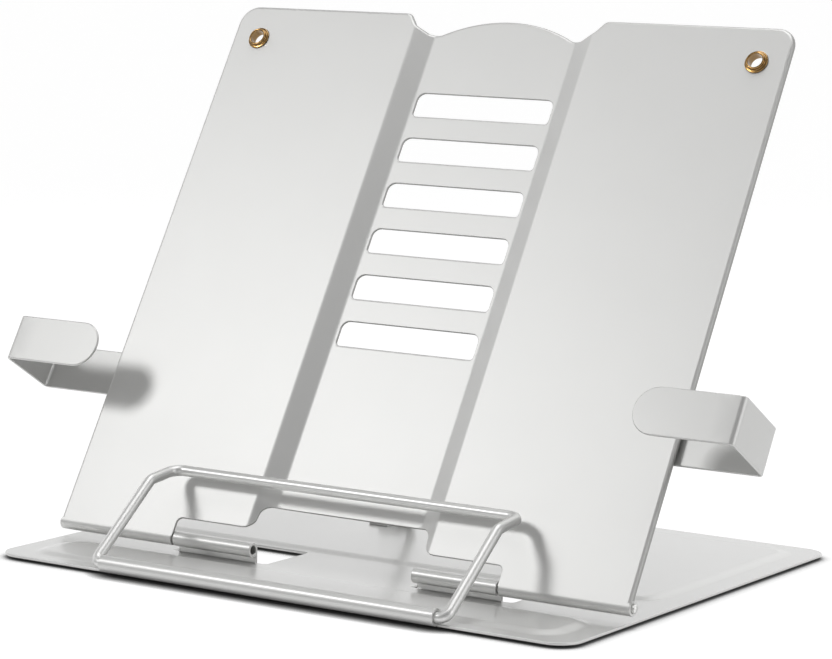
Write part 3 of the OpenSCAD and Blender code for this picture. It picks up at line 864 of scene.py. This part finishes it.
def mark_edge_shade(plate, normals):
    """Sets the edge attribute of the painted edge shade, from 0 on the plate's face and back to 1 on its cut
    edges.
    """
    facing = np.abs(normals @ (0.0, -math.sin(TILT), math.cos(TILT)))
    start, full = EDGE_SHADE_TURNS
    edge = np.zeros(len(plate.data.vertices))
    edge[:len(facing)] = np.clip((start - facing) / (start - full), 0, 1)
    plate.data.attributes.new("edge", "FLOAT", "POINT").data.foreach_set("value", edge)


# Hinge pins


def make_pins():
    for name, side in SIDES:
        path = [on_plate(np.array([[side * x, 0.0, 0.0]]))[0] for x in PIN_X]
        piece("pin_" + name, tube(path, PIN_R), STEEL, "plate", "hinge_pin_" + name)


# Wires


def leg_end(along, angle, start):
    """Y and Z at a distance along a leg that rises at an angle from its start."""
    return (start[0] + along * math.cos(angle), start[1] + along * math.sin(angle))


def mirrored(half):
    """Corners of a wire's right half, followed by the same on the left."""
    return half + [(-x, y, z, r) for x, y, z, r in half[::-1]]


def make_rail():
    bend = leg_end(RAIL_LEG, RAIL_LEG_ANGLE, RAIL_AXIS)
    bar = leg_end(RAIL_SHOULDER, RAIL_SHOULDER_ANGLE, bend)
    half = [
        (RAIL_END, *RAIL_AXIS, 0.0), (RAIL_X, *RAIL_AXIS, RAIL_FOOT_R),
        (RAIL_X, *bend, RAIL_BEND_R), (RAIL_X, *bar, RAIL_BEND_R),
    ]
    wire = tube(bent_path(mirrored(half)), WIRE_R)
    piece("rail_wire", wire, WIRE, "rail", "page_rail")


def make_prop():
    bar = leg_end(PROP_LEN, PROP_ANGLE, PROP_AXIS)
    half = [(PROP_STUB, *PROP_AXIS, 0.0), (PROP_X, *PROP_AXIS, PROP_BEND_R), (PROP_X, *bar, PROP_BEND_R)]
    wire = tube(bent_path(mirrored(half)), WIRE_R)
    piece("prop_bent_wire", wire, WIRE, "prop", "prop_wire")


# Page clips


def clip_path():
    """Outer face of a strap from its strip's inner end round to its tab's tip, and its arc lengths."""
    low, high = STRIP_BACK, STRIP_BACK + CLIP_DEPTH
    corners = [
        (CLIP_X - CLIP_STRIP, low, 0.0), (CLIP_X, low, CLIP_BEND),
        (CLIP_X, high, CLIP_BEND), (CLIP_X - CLIP_TAB, high, 0.0),
    ]
    path = np.array(bent_path([(x, d, 0.0, r) for x, d, r in corners], 9.0))[:, :2]
    lengths = np.concatenate([[0.0], np.cumsum(np.linalg.norm(np.diff(path, axis=0), axis=1))])
    return path, lengths


def make_clips():
    path, lengths = clip_path()
    total = lengths[-1]
    bends = lengths[1:-1]
    for name, side in SIDES:

        def surface(uv, side=side):
            u = np.clip(uv[:, 0], 0, total)
            past = uv[:, 0] - u
            x = np.interp(u, lengths, path[:, 0])
            depth = np.interp(u, lengths, path[:, 1])
            x = x + np.where(past < 0, past, -past)
            return on_plate(np.column_stack([side * x, CLIP_H - side * uv[:, 1], depth]))

        corners = [
            (0.0, -CLIP_HALF, CLIP_END_R), (total, -CLIP_HALF, CLIP_HALF),
            (total, CLIP_HALF, CLIP_HALF), (0.0, CLIP_HALF, CLIP_END_R),
        ]
        loop = outline(corners, 4.0, bends)
        fill = [(u, v) for u in bends for v in np.linspace(-CLIP_HALF + 2, CLIP_HALF - 2, 5)]
        clip = sheet(surface, [loop], fill, edge_r=CLIP_EDGE_R)
        piece("clip_strap_" + name, clip, SHADED_STRAP, "clip_" + name, "page_clip_" + name)


# Small pieces on the plate and on the base


def make_guides():
    wall = CLIP_HALF + SLIDE_GAP + SHEET / 2
    foot = wall + SHEET / 2 + GUIDE_FOOT
    near = CURL_R - SHEET - SHEET / 2
    far = STRIP_BACK - SLIDE_GAP - SHEET / 2
    shape = [(-foot, near), (-wall, near), (-wall, far), (wall, far), (wall, near), (foot, near)]
    bends = [0.0] + [GUIDE_BEND] * 4 + [0.0]
    middle = [(CLIP_H + h, d, r) for (h, d), r in zip(shape, bends)]
    for name, side in SIDES:
        x0, x1 = sorted((side * GUIDE_X[0], side * GUIDE_X[1]))
        guide = extruded(strip(middle), x0, x1, on_plate)
        piece("guide_" + name, guide, COAT, "plate", "clip_guide_" + name)


def make_saddles():
    r = WIRE_R + TURN_FIT + SHEET / 2
    y, z = PROP_AXIS
    low = RIM_TOP + PANEL_RISE + SHEET / 2
    reach = r + SHEET / 2 + SADDLE_FOOT
    start = [(y + reach, low, 0.0), (y + r, low, SADDLE_BEND)]
    over = roll((y, z), r, 0, 180, start)
    shape = over + [(y - r, low, SADDLE_BEND), (y - reach, low, 0.0)]
    for name, side in SIDES:
        x0, x1 = sorted((side * SADDLE_X[0], side * SADDLE_X[1]))
        saddle = extruded(strip(shape), x0, x1)
        piece("saddle_" + name, saddle, COAT, "base", "prop_saddle_" + name)


def arc_points(centre, r, start, step, count):
    """Points round a centre (radius, depth), from a start angle on in steps, in degrees."""
    angles = [math.radians(start + step * k) for k in range(count)]
    return [(centre[0] + r * math.cos(t), centre[1] + r * math.sin(t)) for t in angles]


def eyelet_profile():
    """Section of an eyelet: lip, flange on the plate's face, barrel, and rolled rim behind."""
    bore, wall, rim, flange_t, lip_height = 2.7, 0.7, 0.9, 0.6, 1.8
    back, front = CURL_R - SHEET, CURL_R
    lip_r, roll_r, corner_r = wall / 2, 0.8, 0.3
    lip = front + lip_height - lip_r
    flange = front + flange_t + corner_r
    edge = bore + wall + rim
    profile = arc_points((bore + lip_r, lip), lip_r, 180, -15, 13)
    profile.append((bore + wall, flange))
    profile += arc_points((bore + wall + corner_r, flange), corner_r, 210, 30, 3)
    profile += arc_points((edge - corner_r, front + corner_r), corner_r, 90, -30, 7)
    profile += [(bore + wall, front), (bore + wall, back)]
    profile += arc_points((bore + roll_r, back - roll_r), roll_r, 60, -13.33, 19)
    profile.append((bore, back - roll_r))
    profile.append(profile[0])
    return profile


def make_eyelets():
    profile = eyelet_profile()[::-1]
    for name, side in SIDES:

        def place(p, side=side):
            return on_plate(p + (side * EYELET[0], EYELET[1], 0.0))

        piece("ring_" + name, lathe(profile, place), BRASS, "plate", "eyelet_" + name)


def dress_cad_nodes():
    """Gives the CAD nodes their materials: the pads and springs stay, and the others are replaced."""
    for name, node in frame["nodes"].items():
        if name.startswith("pad_"):
            material = RUBBER
        elif name.startswith("clip_spring"):
            material = STEEL
        else:
            material = COAT
        node.data.materials.clear()
        node.data.materials.append(material)


# Camera, floor and light


def make_camera():
    """The photograph's camera, fitted to the object's straight edges."""
    azimuth, elevation, roll_angle = (math.radians(a) for a in (32.4458, 6.6119, 1.4014))
    distance, sideways, lift = 1036.23, 47.37, 101.79
    back = Vector((math.sin(azimuth) * math.cos(elevation),
                   -math.cos(azimuth) * math.cos(elevation), math.sin(elevation)))
    right = Vector((math.cos(azimuth), math.sin(azimuth), 0.0))
    up = back.cross(right)
    across = right * math.cos(roll_angle) + up * math.sin(roll_angle)
    above = up * math.cos(roll_angle) - right * math.sin(roll_angle)
    place = back * distance + across * sideways + above * lift + Vector((0, BASE_FRONT, 0))
    data = bpy.data.cameras.new("camera")
    camera = bpy.data.objects.new("camera", data)
    bpy.context.scene.collection.objects.link(camera)
    turned = Matrix((across, above, back)).transposed().to_4x4()
    camera.matrix_world = Matrix.Translation(place * MM) @ turned
    picture_w, picture_h = 832, 659
    focal_px, centre_x, centre_y = 3149.66, 408.40, 292.38
    data.sensor_width = 36.0
    data.lens = focal_px / picture_w * data.sensor_width
    data.shift_x = (picture_w / 2 - centre_x) / picture_w
    data.shift_y = (centre_y - picture_h / 2) / picture_w
    bpy.context.scene.camera = camera


def math_node(tree, operation, first, second):
    """A Math node of two inputs, each a socket or a number."""
    node = tree.nodes.new("ShaderNodeMath")
    node.operation = operation
    for k, value in enumerate((first, second)):
        if isinstance(value, float):
            node.inputs[k].default_value = value
        else:
            tree.links.new(value, node.inputs[k])
    return node.outputs["Value"]


def stage_material():
    """White that bounces plain light, and shows as white with the object's shadow on it, and with painted
    contact shade where its glow is darkened near the object.
    """
    material = bpy.data.materials.new("stage")
    material.use_nodes = True
    tree = material.node_tree
    tree.nodes.clear()
    plain = tree.nodes.new("ShaderNodeBsdfDiffuse")
    plain.inputs["Color"].default_value = (0.8, 0.8, 0.8, 1)
    lit = tree.nodes.new("ShaderNodeBsdfDiffuse")
    lit.inputs["Color"].default_value = (FLOOR_LIT, FLOOR_LIT, FLOOR_LIT, 1)
    # Painted contact shade: occlusion darkens the floor's glow close to the object
    contact_shade = tree.nodes.new("ShaderNodeAmbientOcclusion")
    contact_shade.samples = 8
    contact_shade.inputs["Distance"].default_value = CONTACT_SHADE_REACH
    glow = tree.nodes.new("ShaderNodeEmission")
    shown = tree.nodes.new("ShaderNodeAddShader")
    rays = tree.nodes.new("ShaderNodeLightPath").outputs
    pick = tree.nodes.new("ShaderNodeMixShader")
    out = tree.nodes.new("ShaderNodeOutputMaterial")
    darker = math_node(tree, "POWER", contact_shade.outputs["AO"], CONTACT_SHADE_POWER)
    strength = math_node(tree, "MULTIPLY", darker, FLOOR_GLOW)
    mirrored_rays = math_node(tree, "MAXIMUM", rays["Is Glossy Ray"], rays["Is Transmission Ray"])
    seen = math_node(tree, "MAXIMUM", rays["Is Camera Ray"], mirrored_rays)
    tree.links.new(strength, glow.inputs["Strength"])
    tree.links.new(lit.outputs["BSDF"], shown.inputs[0])
    tree.links.new(glow.outputs["Emission"], shown.inputs[1])
    tree.links.new(seen, pick.inputs["Fac"])
    tree.links.new(plain.outputs["BSDF"], pick.inputs[1])
    tree.links.new(shown.outputs["Shader"], pick.inputs[2])
    tree.links.new(pick.outputs["Shader"], out.inputs["Surface"])
    return material


def make_stage():
    """White floor that curves up into a wall round the back and sides of the object, in metres."""
    radius, bend, height, sides = 2.2, 0.6, 2.0, 96
    first_angle, sweep = -15, 210
    front_x, front_y = 2.5, -3.0
    profile = [(0.0, 0.0), (radius - bend, 0.0)]
    for k in range(1, 13):
        t = math.radians(90 * k / 12)
        profile.append((radius - bend + bend * math.sin(t), bend - bend * math.cos(t)))
    profile.append((radius, height))
    verts, faces = [(0.0, 0.0, 0.0)], []
    for r, z in profile[1:]:
        for i in range(sides + 1):
            t = math.radians(first_angle + sweep * i / sides)
            verts.append((r * math.cos(t), r * math.sin(t), z))
    row = sides + 1
    for i in range(sides):
        faces.append((0, 1 + i, 2 + i))
        for k in range(1, len(profile) - 1):
            a, b = 1 + (k - 1) * row + i, 1 + k * row + i
            faces.append((a, b, b + 1, a + 1))
    front = 1 + sides
    verts += [(-front_x, front_y, 0.0), (front_x, front_y, 0.0)]
    faces.append((0, front, len(verts) - 2, len(verts) - 1, 1))
    mesh = bpy.data.meshes.new("backdrop")
    mesh.from_pydata(verts, [], faces)
    mesh.polygons.foreach_set("use_smooth", [True] * len(mesh.polygons))
    mesh.materials.append(stage_material())
    backdrop = bpy.data.objects.new("backdrop", mesh)
    bpy.context.scene.collection.objects.link(backdrop)


def area_light(name, place, size, power):
    """A rectangular lamp that points at the middle of the object."""
    data = bpy.data.lights.new(name, "AREA")
    data.shape = "RECTANGLE"
    data.size, data.size_y = size
    data.energy = power
    light = bpy.data.objects.new(name, data)
    bpy.context.scene.collection.objects.link(light)
    light.location = place
    aim = Vector(LAMP_AIM) - Vector(place)
    light.rotation_euler = aim.to_track_quat("-Z", "Y").to_euler()


def make_light():
    """A dim room that is white for the camera and pale in reflections, and the lamps."""
    world = bpy.data.worlds.new("world")
    bpy.context.scene.world = world
    world.use_nodes = True
    tree = world.node_tree
    room = tree.nodes["Background"]
    room.inputs["Color"].default_value = (1, 1, 1, 1)
    rays = tree.nodes.new("ShaderNodeLightPath")
    white = tree.nodes.new("ShaderNodeMapRange")
    white.inputs["To Min"].default_value = ROOM
    white.inputs["To Max"].default_value = 1.0
    shine = tree.nodes.new("ShaderNodeMath")
    shine.operation = "MULTIPLY_ADD"
    shine.inputs[1].default_value = ROOM_SHINE
    tree.links.new(rays.outputs["Is Camera Ray"], white.inputs["Value"])
    tree.links.new(rays.outputs["Is Glossy Ray"], shine.inputs[0])
    tree.links.new(white.outputs["Result"], shine.inputs[2])
    tree.links.new(shine.outputs["Value"], room.inputs["Strength"])
    world.cycles.sampling_method = "NONE"
    for name, place, size, power in LAMPS:
        area_light(name, place, size, power)


dress_cad_nodes()
make_base()
make_plate()
make_pins()
make_rail()
make_prop()
make_clips()
make_guides()
make_saddles()
make_eyelets()
make_camera()
make_stage()
make_light()
bpy.context.scene.view_settings.view_transform = "Standard"
